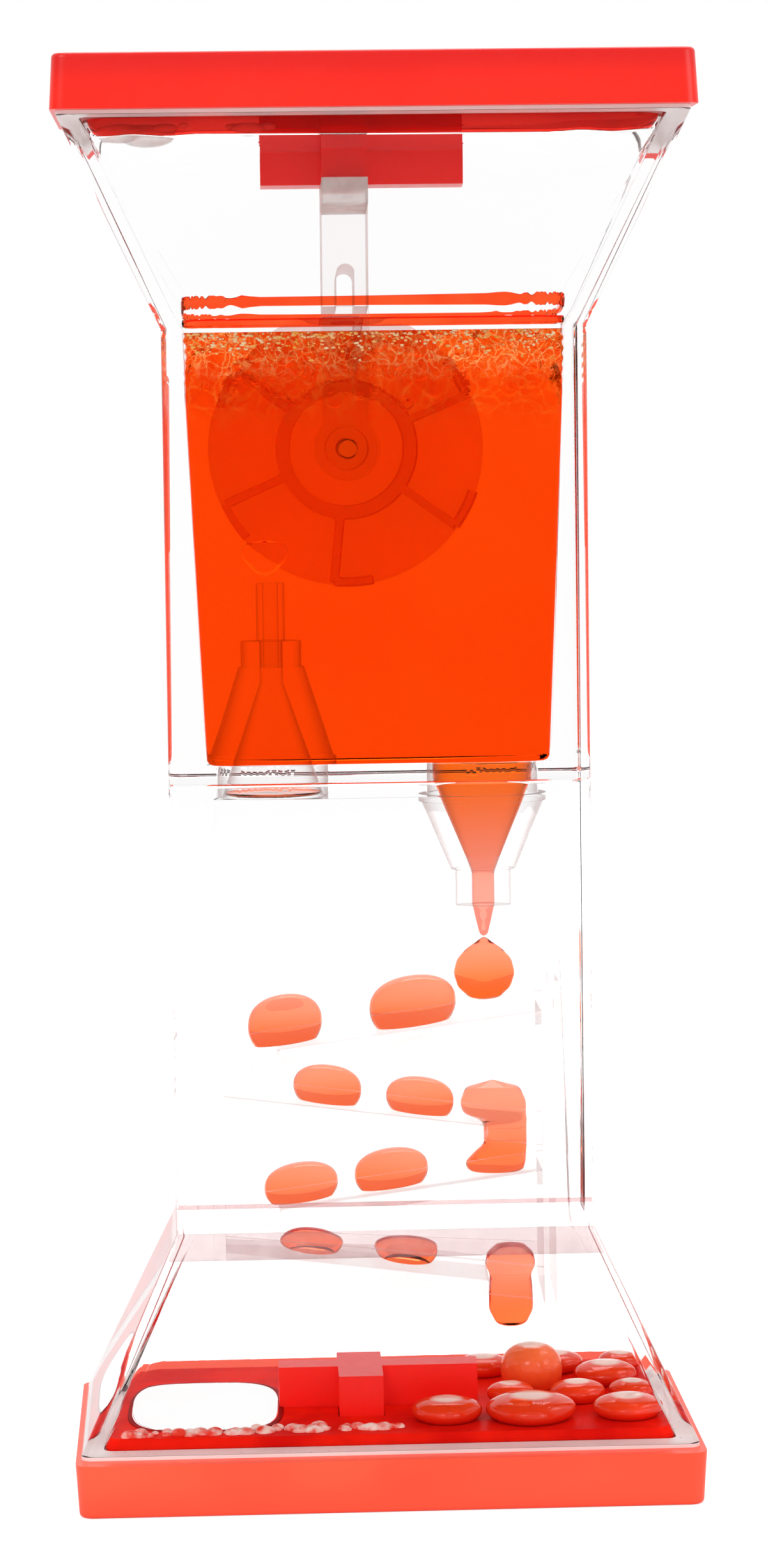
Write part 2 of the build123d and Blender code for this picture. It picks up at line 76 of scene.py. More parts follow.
class Graph:
    """Adds nodes to one node tree and feeds their sockets."""

    def __init__(self, tree: bpy.types.NodeTree) -> None:
        """Keep the tree that the nodes go into."""
        self.tree = tree

    def feed(self, value: object, socket: Socket) -> None:
        """Link a socket to a socket, or set a plain value on it.

        Args:
            value: A node socket, a number or a colour.
            socket: The input that takes it.
        """
        if isinstance(value, Socket):
            self.tree.links.new(value, socket)
        elif isinstance(value, tuple) and socket.type == "RGBA":
            socket.default_value = (*value[:3], 1.0)
        else:
            socket.default_value = value

    def add(self, kind: str, inputs: dict | None = None, **settings: object) -> Node:
        """Add a node.

        Args:
            kind: Blender's name for the type of node, without ShaderNode in front.
            inputs: Input name or index to the value or socket that feeds it.
            settings: Attributes of the node itself.

        Returns:
            The new node.
        """
        node = self.tree.nodes.new(kind if kind.startswith("NodeGroup") else "ShaderNode" + kind)
        for name, value in settings.items():
            setattr(node, name, value)
        for name, value in (inputs or {}).items():
            self.feed(value, node.inputs[name])
        return node

    def calc(self, operation: str, *values: object) -> Socket:
        """One step of arithmetic on numbers or sockets."""
        return self.add("Math", dict(enumerate(values)), operation=operation).outputs[0]

    def ramp(self, value: Socket, start: float, end: float, low: float = 0.0, high: float = 1.0) -> Socket:
        """Smooth step of a value.

        Args:
            value: The socket that is read.
            start: Value up to which the result is low.
            end: Value from which the result is high.
            low: Result before start.
            high: Result after end.

        Returns:
            The result's socket.
        """
        ends = {"Value": value, "From Min": start, "From Max": end, "To Min": low, "To Max": high}
        return self.add("MapRange", ends, interpolation_type="SMOOTHSTEP").outputs["Result"]

    def blend(self, factor: object, first: object, second: object) -> Socket:
        """Mix of two colours: factor 0 gives the first and 1 the second."""
        return self.add("Mix", {0: factor, 6: first, 7: second}, data_type="RGBA").outputs[2]

    def place(self) -> Socket:
        """Object coordinates, in metres."""
        return self.add("TexCoord").outputs["Object"]

    def height(self, place: Socket) -> Socket:
        """Z of a place."""
        return self.add("SeparateXYZ", {0: place}).outputs["Z"]

    def rise(self) -> Socket:
        """The height share that a mesh stores for each of its points."""
        return self.add("Attribute", attribute_name="rise").outputs["Fac"]

    def noise(self, place: Socket, scale: object, detail: float = 2.0, bend: float = 0.0) -> Node:
        """Cloudy noise with scale waves to a metre."""
        inputs = {"Vector": place, "Scale": scale, "Detail": detail, "Distortion": bend}
        return self.add("TexNoise", inputs)

    def cells(self, place: Socket, scale: float, feature: str) -> Socket:
        """Distances in a pattern of cells, with scale cells to a metre."""
        return self.add("TexVoronoi", {"Vector": place, "Scale": scale}, feature=feature).outputs[0]

    def sight(self) -> tuple[Socket, Socket]:
        """1 for rays of sight, straight or through clear pieces, and 1 for mirrored rays."""
        path = self.add("LightPath").outputs
        return self.calc("MAXIMUM", path["Is Camera Ray"], path["Is Transmission Ray"]), path["Is Glossy Ray"]


def cleared_tree(owner: bpy.types.Material | bpy.types.World) -> Graph:
    """The emptied node tree of a material or world."""
    owner.use_nodes = True
    owner.node_tree.nodes.clear()
    return Graph(owner.node_tree)


def uneven_group() -> bpy.types.NodeTree:
    """The shared unevenness of every moulded or poured surface.

    Returns:
        A node group: slow cloud for the colour, fine grain for roughness and relief.
    """
    found = bpy.data.node_groups.get("uneven_surface")
    if found:
        return found
    tree = bpy.data.node_groups.new("uneven_surface", "ShaderNodeTree")
    number, colour = "NodeSocketFloat", "NodeSocketColor"
    for way, name, kind in (
        ("INPUT", "Colour", colour), ("INPUT", "Shade", colour), ("INPUT", "Cloud Scale", number),
        ("INPUT", "Grain Scale", number), ("INPUT", "Roughness", number), ("OUTPUT", "Colour", colour),
        ("OUTPUT", "Roughness", number), ("OUTPUT", "Height", number),
    ):
        tree.interface.new_socket(name, in_out=way, socket_type=kind)
    graph = Graph(tree)
    inner = graph.add("NodeGroupInput").outputs
    place = graph.place()
    cloud = graph.noise(place, inner["Cloud Scale"], 3.0).outputs[0]
    grain = graph.noise(place, inner["Grain Scale"]).outputs[0]
    mixed = graph.blend(graph.ramp(cloud, 0.35, 0.65), inner["Colour"], inner["Shade"])
    gloss = graph.calc("MULTIPLY_ADD", graph.calc("SUBTRACT", grain, 0.5), 0.12, inner["Roughness"])
    graph.add("NodeGroupOutput", {0: mixed, 1: gloss, 2: grain})
    return tree


@dataclass(frozen=True)
class Finish:
    """Common part of every finish."""

    name: str  # Name of the material
    colour: Colour  # Main colour
    shade: Colour  # Second colour of the slow cloud
    roughness: float = 0.2  # Mean roughness
    cloud_scale: float = 40.0  # Waves of the cloud to a metre
    grain_scale: float = 900.0  # Waves of the grain to a metre
    relief: float = 0.03  # Strength of the grain's relief
    constants: tuple[tuple[str, float], ...] = ()  # Further inputs of the surface and their values

    def material(self) -> bpy.types.Material:
        """The finish's material, made once.

        Returns:
            The material.
        """
        made = bpy.data.materials.get(self.name)
        if made:
            return made
        made = bpy.data.materials.new(self.name)
        graph = cleared_tree(made)
        inputs = {
            "Colour": self.colour, "Shade": self.shade, "Cloud Scale": self.cloud_scale,
            "Grain Scale": self.grain_scale, "Roughness": self.roughness,
        }
        uneven = graph.add("Group", inputs, node_tree=uneven_group()).outputs
        base = {
            "Base Color": self.tint(graph, uneven["Colour"]), "Roughness": uneven["Roughness"],
            "Normal": self.relief_of(graph, uneven["Height"]).outputs[0],
        }
        surface = graph.add("BsdfPrincipled", base | self.optics(graph))
        graph.add("OutputMaterial", {"Surface": surface.outputs[0]})
        return made

    def relief_of(self, graph: Graph, height: Socket) -> Node:
        """The bump node of the grain."""
        return graph.add("Bump", {"Strength": self.relief, "Distance": 0.2 * MM, "Height": height})

    def tint(self, graph: Graph, colour: Socket) -> Socket:
        """Change the clouded colour; the plain finish leaves it."""
        return colour

    def optics(self, graph: Graph) -> dict[str, object]:
        """Further inputs of the surface; the plain finish has only its constants."""
        return dict(self.constants)


@dataclass(frozen=True)
class CapPlastic(Finish):
    """Coloured plastic of low gloss that changes towards the outer face and in the inner post."""

    rim: Colour = (0.5, 0.01, 0.01)  # Colour at the outer face
    post: Colour = (0.6, 0.01, 0.01)  # Colour of the post
    outer_z: float = 0.0  # Height of the cap's outer face, in metres
    inward: int = 1  # 1 if the post points up, -1 if it points down
    slab: float = 0.006  # Thickness of the slab, in metres
    fade: Pair = (0.8, 1.08)  # Shares of the slab at which the rim's colour has gone and the post's is full

    def tint(self, graph: Graph, colour: Socket) -> Socket:
        """Blend from the rim's colour to the slab's, and past the slab to the post's."""
        above = graph.calc("SUBTRACT", graph.height(graph.place()), self.outer_z)
        level = graph.calc("MULTIPLY", above, float(self.inward))
        slab = graph.blend(graph.ramp(level, 0.0, self.fade[0] * self.slab), self.rim, colour)
        return graph.blend(graph.ramp(level, self.slab, self.fade[1] * self.slab), slab, self.post)


@dataclass(frozen=True)
class ClearGlass(Finish):
    """Clear or tinted body that bends what is seen through it, with a weak mirror image."""

    ior: float = 1.47  # Index of refraction against what surrounds it

    def optics(self, graph: Graph) -> dict[str, object]:
        """Full transmission at the finish's index."""
        return {"Transmission Weight": 1.0, "IOR": self.ior, "Specular Tint": (0.15, 0.15, 0.15)}


@dataclass(frozen=True)
class DropLiquid(ClearGlass):
    """Tinted liquid whose colour changes up each drop or stream."""

    pale: Colour = (1.0, 0.26, 0.16)  # Colour at the top

    def tint(self, graph: Graph, colour: Socket) -> Socket:
        """Blend to the top's colour along the stored rise."""
        return graph.blend(graph.ramp(graph.rise(), 0.1, 0.95), colour, self.pale)


@dataclass(frozen=True)
class GlossyDrop(DropLiquid):
    """Deep coloured liquid with a painted highlight at its crest, standing in for the light behind it mirrored in
    the drop.
    """

    crest: Colour = (1.0, 0.66, 0.56)  # Colour of the painted highlight at the crest

    def tint(self, graph: Graph, colour: Socket) -> Socket:
        """Add the painted highlight at the crest to the drop's own blend."""
        return graph.blend(graph.ramp(graph.rise(), 0.93, 0.985), super().tint(graph, colour), self.crest)

    def optics(self, graph: Graph) -> dict[str, object]:
        """Opaque, with a reflection that shows at the rim."""
        return {"IOR": self.ior}


@dataclass(frozen=True)
class Immersed(Finish):
    """Clear plastic inside the liquid, seen by little but its edges."""

    facing: float = 0.03  # Opacity where the surface faces the eye
    edge: float = 0.4  # Opacity where it is seen along itself

    def optics(self, graph: Graph) -> dict[str, object]:
        """Opacity that rises towards the edges."""
        graze = graph.add("LayerWeight", {"Blend": 0.35}).outputs["Facing"]
        return {"Alpha": graph.ramp(graze, 0.15, 1.0, self.facing, self.edge), **dict(self.constants)}


@dataclass(frozen=True)
class FrothedLiquid(ClearGlass):
    """Tinted liquid whose upper layer is wrinkled, with dark clouds and painted highlights along the cell edges.
    """

    calm_z: float = 0.1205  # Height below which the surface is smooth, in metres
    rough_z: float = 0.1265  # Height above which it is fully wrinkled, in metres
    crest_z: Pair = (0.127, 0.1295)  # Heights between which the fine painted highlights come in, in metres
    wrinkle_scales: Pair = (520.0, 330.0)  # Cells and waves of the relief to a metre
    wrinkle_depth: float = 1.6 * MM  # Depth of the relief, in metres
    bend_scale: float = 260.0  # Waves to a metre of the noise that bends the lines
    bend_reach: float = 4.5 * MM  # How far it bends them, in metres
    line_scales: Pair = (330.0, 900.0)  # Cells of the painted highlight lines and of the fine ones to a metre
    dark: Colour = (0.78, 0.022, 0.001)  # Colour of the clouds
    line: Colour = (1.0, 0.30, 0.03)  # Colour of the painted highlight lines
    fine: Colour = (1.0, 0.62, 0.22)  # Colour of the fine painted highlight lines
    shares: tuple[float, float, float] = (0.55, 0.32, 0.75)  # Strength of the clouds, the painted highlight lines and the fine ones

    def relief_of(self, graph: Graph, height: Socket) -> Node:
        """Wrinkles of cell size, masked by height.

        Args:
            graph: The material's nodes.
            height: The grain, which they take the place of.

        Returns:
            The bump node.
        """
        place = graph.place()
        cells = graph.cells(place, self.wrinkle_scales[0], "SMOOTH_F1")
        waves = graph.noise(place, self.wrinkle_scales[1], 4.0, 1.2).outputs[0]
        both = graph.calc("ADD", cells, graph.calc("MULTIPLY", waves, 1.5))
        masked = graph.calc("MULTIPLY", both, graph.ramp(graph.height(place), self.calm_z, self.rough_z))
        return graph.add("Bump", {"Strength": 1.0, "Distance": self.wrinkle_depth, "Height": masked})

    def tint(self, graph: Graph, colour: Socket) -> Socket:
        """Lay the dark clouds and then the painted highlight lines over the colour, each masked by height.

        Args:
            graph: The material's nodes.
            colour: The clouded colour.

        Returns:
            The colour with both.
        """
        place = graph.place()
        bend = graph.noise(place, self.bend_scale, 3.0)
        warp = graph.add(
            "VectorMath", {0: bend.outputs["Color"], "Scale": self.bend_reach}, operation="SCALE"
        )
        bent = graph.add("VectorMath", {0: place, 1: warp.outputs[0]}, operation="ADD").outputs[0]
        level = graph.height(bent)
        depth = graph.ramp(level, self.calm_z, self.rough_z)
        crest = graph.ramp(level, *self.crest_z)
        masks = [graph.calc("MULTIPLY", graph.ramp(bend.outputs[0], 0.42, 0.62), depth)]
        # Painted highlights: bright lines along the cell edges, the fine ones only near the surface.
        for scale, width, mask in zip(self.line_scales, (0.07, 0.12), (depth, crest)):
            edges = graph.ramp(graph.cells(bent, scale, "DISTANCE_TO_EDGE"), 0.0, width)
            masks.append(graph.calc("MULTIPLY", graph.calc("SUBTRACT", 1.0, edges), mask))
        for mask, share, over in zip(masks, self.shares, (self.dark, self.line, self.fine)):
            colour = graph.blend(graph.calc("MULTIPLY", mask, share), colour, over)
        return colour


METAL = ("Metallic", 1.0)
HALF_METAL = ("Metallic", 0.5)
SATIN = ("Specular IOR Level", 0.3)
LOW_GLOSS = (("IOR", 1.08), SATIN)

# The finishes: after the two colours come roughness, cloud scale, grain scale, relief and constants.

# The post's red is raised over the slab's to make up for the dim light that reaches it inside the cup: painted
# light.
RED = CapPlastic(
    "red_cap_plastic", (0.9, 0.022, 0.01), (0.84, 0.017, 0.008), 0.32, relief=0.0, rim=(0.66, 0.012, 0.01),
    post=(1.0, 0.008, 0.004), outer_z=0.16, inward=-1, constants=(SATIN,),
)
CORAL = CapPlastic(
    "coral_cap_plastic", (1.0, 0.1, 0.042), (0.97, 0.075, 0.03), 0.34, relief=0.0, rim=(1.0, 0.08, 0.034),
    post=(1.0, 0.012, 0.006), constants=(SATIN,),
)
SEAL = Finish("pale_seal", (0.86, 0.8, 0.78), (0.78, 0.7, 0.68), 0.4)
SEAT = Finish("cup_seat", (0.98, 0.9, 0.88), (0.94, 0.82, 0.8), 0.3, 60.0, 700.0, 0.0)
SKIN = ClearGlass("clear_cup_skin", WHITE, (0.994, 0.992, 0.992), 0.012, 25.0, 700.0, 0.01)
BORE = ClearGlass("clear_cup_bore", WHITE, (0.998, 0.997, 0.997), 0.012, 25.0, 700.0, 0.01, ior=1.015)
GLUED = ClearGlass(
    "glued_joint", (0.97, 0.965, 0.965), (0.95, 0.945, 0.945), 0.01, 200.0, 700.0, 0.0, ior=1.001,
)
FROST = Immersed(
    "crown_frost", (0.9, 0.84, 0.8), (0.8, 0.68, 0.64), 0.6, 500.0, 900.0, 0.2, facing=0.5, edge=0.8,
)
HAZE = Immersed(
    "bend_haze", (0.62, 0.26, 0.26), (0.74, 0.4, 0.4), 0.4, 700.0, 900.0, 0.0, facing=0.32, edge=0.6,
)
LINE = Immersed(
    "bend_line", (0.66, 0.08, 0.08), (0.8, 0.2, 0.2), 0.4, 300.0, 900.0, 0.0, facing=0.35, edge=0.6,
)
WHEEL = Immersed("immersed_wheel", (1.0, 0.1, 0.03), (0.95, 0.07, 0.02), 0.3, facing=0.22, edge=0.85)
YOKE = Immersed("immersed_yoke", (0.86, 0.6, 0.55), (0.8, 0.52, 0.47), 0.35, facing=0.05, edge=0.7)
INSERT = Immersed("immersed_insert", (0.86, 0.66, 0.64), (0.8, 0.58, 0.56), 0.3, facing=0.02, edge=0.5)
FUNNEL = Immersed("immersed_funnel", (0.78, 0.66, 0.64), (0.7, 0.58, 0.56), 0.3, facing=0.03, edge=0.75)
STEEL = Immersed(
    "axle_steel", (0.95, 0.7, 0.55), (0.86, 0.6, 0.46), 0.4, facing=0.12, edge=0.85, constants=(HALF_METAL,),
)
FILL = FrothedLiquid(
    "orange_fill_liquid", (1.0, 0.058, 0.001), (1.0, 0.05, 0.0007), 0.02, 60.0, 500.0, 0.0, ior=1.06,
)
BEAD = DropLiquid(
    "orange_drop_liquid", (0.98, 0.15, 0.04), (0.96, 0.125, 0.03), 0.02, 90.0, 600.0, 0.0, ior=1.13,
    pale=(0.92, 0.26, 0.16),
)
RICH = DropLiquid(
    "orange_stream_liquid", (1.0, 0.33, 0.26), (1.0, 0.29, 0.21), 0.02, 90.0, 600.0, 0.0, ior=1.06,
    pale=(1.0, 0.145, 0.004),
)
FALLING = DropLiquid(
    "orange_falling_liquid", (1.0, 0.16, 0.025), (1.0, 0.135, 0.018), 0.02, 90.0, 600.0, 0.0, ior=1.07,
    pale=(0.97, 0.25, 0.14),
)
# Both glossy drops carry a painted highlight at their crest.
STANDING = GlossyDrop(
    "orange_standing_liquid", (0.95, 0.085, 0.015), (0.9, 0.065, 0.01), 0.03, 90.0, 600.0, 0.0, ior=1.3,
    pale=(1.0, 0.17, 0.05),
)
DOME = GlossyDrop(
    "orange_pool_drop_liquid", (0.85, 0.02, 0.004), (0.78, 0.014, 0.003), 0.03, 90.0, 600.0, 0.0, ior=1.32,
    pale=(0.92, 0.05, 0.008),
)
POOL = Finish("orange_pool_liquid", (1.0, 0.014, 0.004), (0.8, 0.006, 0.003), 0.35, 120.0, 700.0, 0.1, LOW_GLOSS)
# A dark ring round the mirror patch: painted shade at its edge.
EDGE = Finish("pool_edge_liquid", (0.42, 0.004, 0.003), (0.3, 0.002, 0.002), 0.35, 120.0, 700.0, 0.0, LOW_GLOSS)
# A white mirror plate that stands in for the reflection off the pool's flat surface: a painted reflection.
POOL_MIRROR = Finish("pool_mirror_plate", WHITE, (1.0, 0.96, 0.95), 0.03, 60.0, 500.0, 0.0, (METAL,))
FROTH = ClearGlass("froth_bubbles", (1.0, 0.95, 0.9), (1.0, 0.88, 0.8), 0.02, 300.0, 900.0, 0.0, ior=0.97)
SPECKS = Finish("pool_froth_bubbles", (0.9, 0.06, 0.035), (1.0, 0.78, 0.7), 0.3, 600.0, 900.0, 0.0, LOW_GLOSS)
# Bright opaque specks that stand in for glints on the froth: painted highlights.
PAINTED_GLINTS = Finish("froth_sparkle", (1.0, 0.42, 0.06), (1.0, 0.75, 0.45), 0.3, 500.0, 900.0, 0.0, LOW_GLOSS)
# Orange glass strips in place of the froth's image refracted through the flare: a painted refracted image.
REFRACTED_BAND = ClearGlass("refracted_froth_band", (1.0, 0.1, 0.02), (1.0, 0.07, 0.012), 0.02, 200.0, 900.0, 0.0, ior=1.05)
# The air bubbles' pale fill is painted: it stands in for the light mirrored in their surfaces.
AIR = Immersed(
    "air_bubbles", (1.0, 0.97, 0.95), (1.0, 0.86, 0.82), 0.1, 900.0, 500.0, 0.0, facing=0.62, edge=0.25,
)
GAP = ClearGlass(
    "air_layer", (0.95, 0.035, 0.02), (0.85, 0.022, 0.015), 0.005, 100.0, 500.0, 0.0, ior=0.88,
)
CLEAR_DROP = ClearGlass(
    "clear_rising_drop", (1.0, 0.99, 0.98), (1.0, 0.96, 0.94), 0.02, 90.0, 500.0, 0.0, ior=0.94,
)


# Surface building


def circle(around: int) -> np.ndarray:
    """Angles of evenly spaced points round a circle."""
    return np.linspace(0, 2 * math.pi, around, endpoint=False)


def ring_quads(rings: int, around: int) -> np.ndarray:
    """Quads that join each ring of points to the next, and the last ring to the first.

    Args:
        rings: How many rings there are.
        around: Points on each ring.

    Returns:
        Point numbers as (ring, place on the ring, 4).
    """
    index = np.arange(rings * around).reshape(rings, around)
    ahead = np.roll(index, -1, 1)
    return np.stack([index, ahead, np.roll(ahead, -1, 0), np.roll(index, -1, 0)], -1)


def closed_faces(rings: int, around: int) -> tuple[np.ndarray, np.ndarray]:
    """Faces of a body whose first and last rings are fanned to a pole each.

    Args:
        rings: How many rings there are.
        around: Points on each ring; the lower and the upper pole come after them all.

    Returns:
        Point numbers of the quads, and those of the two fans of triangles.
    """
    edge, pole = np.arange(around), rings * around
    ahead = np.roll(edge, -1)
    low = np.stack([np.full(around, pole), ahead, edge], -1)
    high = np.stack([np.full(around, pole + 1), pole - around + edge, pole - around + ahead], -1)
    return ring_quads(rings, around)[:-1].reshape(-1, 4), np.concatenate([low, high])


def smooth_mesh(name: str, points: np.ndarray, *faces: np.ndarray) -> Mesh:
    """A smoothly shaded mesh.

    Args:
        name: Name of the mesh.
        points: Places, in metres; the last axis is X, Y and Z.
        faces: Arrays of point numbers; the last axis runs round a face.

    Returns:
        The mesh.
    """
    mesh = bpy.data.meshes.new(name)
    rows = [row for kind in faces for row in kind.reshape(-1, kind.shape[-1]).tolist()]
    mesh.from_pydata(points.reshape(-1, 3).tolist(), [], rows)
    mesh.update()
    mesh.shade_smooth()
    return mesh


def ring_surface(name: str, rings: np.ndarray, rise: bool = False) -> Mesh:
    """Closed surface through rings of points, with a pole at the mean of each end ring.

    Args:
        name: Name of the mesh.
        rings: Points as (ring, place on the ring, x y z), from low to high.
        rise: Whether to store each point's height share.

    Returns:
        The mesh, with its faces outwards.
    """
    rings = rings * MM
    points = np.concatenate([rings.reshape(-1, 3), rings[0].mean(0)[None], rings[-1].mean(0)[None]])
    mesh = smooth_mesh(name, points, *closed_faces(*rings.shape[:2]))
    if rise:
        z = points[:, 2]
        share = (z - z.min()) / (z.max() - z.min())
        mesh.attributes.new("rise", "FLOAT", "POINT").data.foreach_set("value", share.astype(np.float32))
    return mesh


def turned(name: str, outline: Outline, x: float = 0.0, steps: int = 48, rounding: float = 0.08) -> Mesh:
    """Body of round sections along a line through a few corners.

    The line's corners are rounded by a moving mean over a share of its length.

    Args:
        name: Name of the mesh.
        outline: Radius and height of each corner, from low to high, and X of the
            section's middle where the body bends.
        x: X of the middle of a straight body.
        steps: How many sections there are.
        rounding: Share of the line's length that the mean spans.

    Returns:
        The closed mesh.
    """
    given = np.array(outline, float)
    run = np.concatenate([[0], np.cumsum(np.linalg.norm(np.diff(given, axis=0), axis=1))])
    at = np.linspace(0, run[-1], steps)
    width = max(3, round(steps * rounding)) | 1
    reach = (width // 2, width // 2)
    radii, heights, *bend = (
        np.convolve(np.pad(np.interp(at, run, value), reach, mode="edge"), np.ones(width) / width, mode="valid")
        for value in given.T
    )
    turn = circle(40)
    across = np.reshape(bend[0] if bend else x, (-1, 1)) + radii[:, None] * np.cos(turn)
    z = np.broadcast_to(heights[:, None], across.shape)
    return ring_surface(name, np.stack([across, radii[:, None] * np.sin(turn), z], -1), rise=True)


def bubbles(name: str, centres: np.ndarray, radii: np.ndarray, around: int, rows: int) -> Mesh:
    """Many small balls in one mesh: every ball is the unit ball scaled and moved.

    Args:
        name: Name of the mesh.
        centres: Centre of each ball.
        radii: Radius of each ball, or its half sizes along X, Y and Z.
        around: Points on each ring.
        rows: Rings of each ball between its poles.

    Returns:
        The mesh of closed balls.
    """
    tilt, turn = np.linspace(0, math.pi, rows + 2)[1:-1, None], circle(around)
    ring = np.broadcast_arrays(np.sin(tilt) * np.cos(turn), np.sin(tilt) * np.sin(turn), -np.cos(tilt))
    unit = np.concatenate([np.stack(ring, -1).reshape(-1, 3), [[0, 0, -1], [0, 0, 1]]])
    points = centres[:, None, :] + np.reshape(radii, (len(centres), 1, -1)) * unit
    shift = np.arange(len(centres))[:, None, None] * len(unit)
    return smooth_mesh(name, points * MM, *(faces + shift for faces in closed_faces(rows, around)))


def rounded_section(half_width: object, half_depth: object, power: float, around: int) -> np.ndarray:
    """Rounded rectangles as superellipses, one for each ring.

    Each coordinate is the half size times the cosine or sine of the angle, raised to
    two over the power with its sign kept.

    Args:
        half_width: Half width of each ring.
        half_depth: Half depth of each ring.
        power: Power of the superellipse; a high one has tight corners.
        around: Points on each ring.

    Returns:
        X and Y as (ring, place on the ring, 2).
    """
    half = np.stack(np.broadcast_arrays(half_width, half_depth), -1)
    wave = np.stack([np.cos(circle(around)), np.sin(circle(around))], -1)
    return np.atleast_2d(half)[:, None] * (np.sign(wave) * np.abs(wave) ** (2 / power))


def stacked(section: np.ndarray, z: np.ndarray) -> np.ndarray:
    """Sections at their heights; z has a height for each ring or for each point of it."""
    height = np.broadcast_to(z if z.ndim > 1 else z[:, None], section.shape[:2])
    return np.concatenate([section, height[..., None]], -1)


def read(rows: object, name: str) -> np.ndarray:
    """A value of three numbers for each point or face of a mesh.

    Args:
        rows: The mesh's points or faces.
        name: Blender's name for the value.

    Returns:
        A row for each of them.
    """
    values = np.empty(len(rows) * 3)
    rows.foreach_get(name, values)
    return values.reshape(-1, 3)


def move_points(mesh: Mesh, points: np.ndarray) -> None:
    """Put a mesh's points at new places, in metres."""
    mesh.vertices.foreach_set("co", points.ravel())
    mesh.update()


def merge_points(mesh: Mesh) -> None:
    """Join the loose triangles of a copied mesh and shade it smooth up to 30 degrees.

    Args:
        mesh: The copy, changed in place.
    """
    work = bmesh.new()
    work.from_mesh(mesh)
    bmesh.ops.remove_doubles(work, verts=work.verts, dist=1e-6)
    work.to_mesh(mesh)
    work.free()
    mesh.shade_smooth()
    mesh.set_sharp_from_angle(angle=math.radians(30))


def even_faces(piece: bpy.types.Object) -> None:
    """Keep large flat faces flat beside their rounded edges."""
    even = piece.modifiers.new("even_faces", "WEIGHTED_NORMAL")
    even.mode, even.weight, even.keep_sharp = "FACE_AREA", 100, True


def box_mm(node: str) -> tuple[np.ndarray, np.ndarray]:
    """The two corners of a CAD node's box."""
    low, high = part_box(node)
    return np.array(low) / MM, np.array(high) / MM


def add_object(name: str, data: bpy.types.ID) -> bpy.types.Object:
    """A new object in the scene."""
    thing = bpy.data.objects.new(name, data)
    bpy.context.scene.collection.objects.link(thing)
    return thing


class SubAssembly:
    """What every sub-assembly does with its pieces."""

    def dress(self, finish: Finish, *nodes: str) -> None:
        """Give carried-over nodes their finish.

        Args:
            finish: The finish for every slot of their objects.
            nodes: Names of the CAD nodes.
        """
        for node in nodes:
            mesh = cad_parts[node].data
            mesh.materials.clear()
            mesh.materials.append(finish.material())
            log.info("%s: %s", node, finish.name)

    def add_piece(self, mesh: Mesh, slot: Slot, *finishes: Finish, stands_for: str = "") -> bpy.types.Object:
        """Put a new piece into the timer, under its mesh's name.

        Args:
            mesh: Its mesh, in place.
            slot: The record's slot; not used.
            finishes: Finish of each material index.
            stands_for: The CAD node that it replaces, if any.

        Returns:
            The piece's object.
        """
        for finish in finishes:
            mesh.materials.append(finish.material())
        piece = add_object(mesh.name, mesh)
        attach(piece, CASING)
        if stands_for:
            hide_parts(stands_for)
        log.info("%s: %d faces, %s", mesh.name, len(mesh.polygons), ", ".join(f.name for f in finishes))
        return piece


